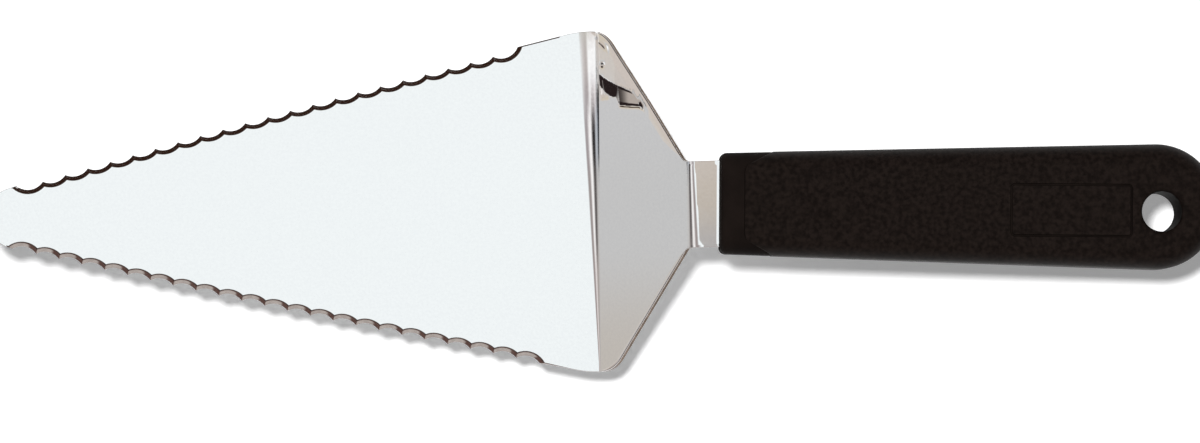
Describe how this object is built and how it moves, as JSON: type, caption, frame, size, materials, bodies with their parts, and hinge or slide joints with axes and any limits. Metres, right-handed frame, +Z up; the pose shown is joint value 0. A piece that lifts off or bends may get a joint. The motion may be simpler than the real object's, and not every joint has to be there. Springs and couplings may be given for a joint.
{
  "type": "cake server",
  "caption": "Cranked cake server: a triangular steel blade with scalloped edges on a raised neck, and a rounded plastic handle with a hanging hole.",
  "frame": {"origin": "centre of the bounding box in X and Y, at the blade's underside", "axes": "+X from the blade's tip to the handle's round end, +Y across the blade, +Z up from the blade's underside to the handle"},
  "size_m": [0.2988, 0.0834, 0.0317],
  "materials": {
    "steel": "polished stainless steel",
    "core_plastic": "smooth satin plastic",
    "grip_rubber": "fine matt moulded texture"
  },
  "bodies": {
    "root": {"blade": "steel", "handle_core": "core_plastic", "handle_grip": "grip_rubber"}
  },
  "joints": []
}
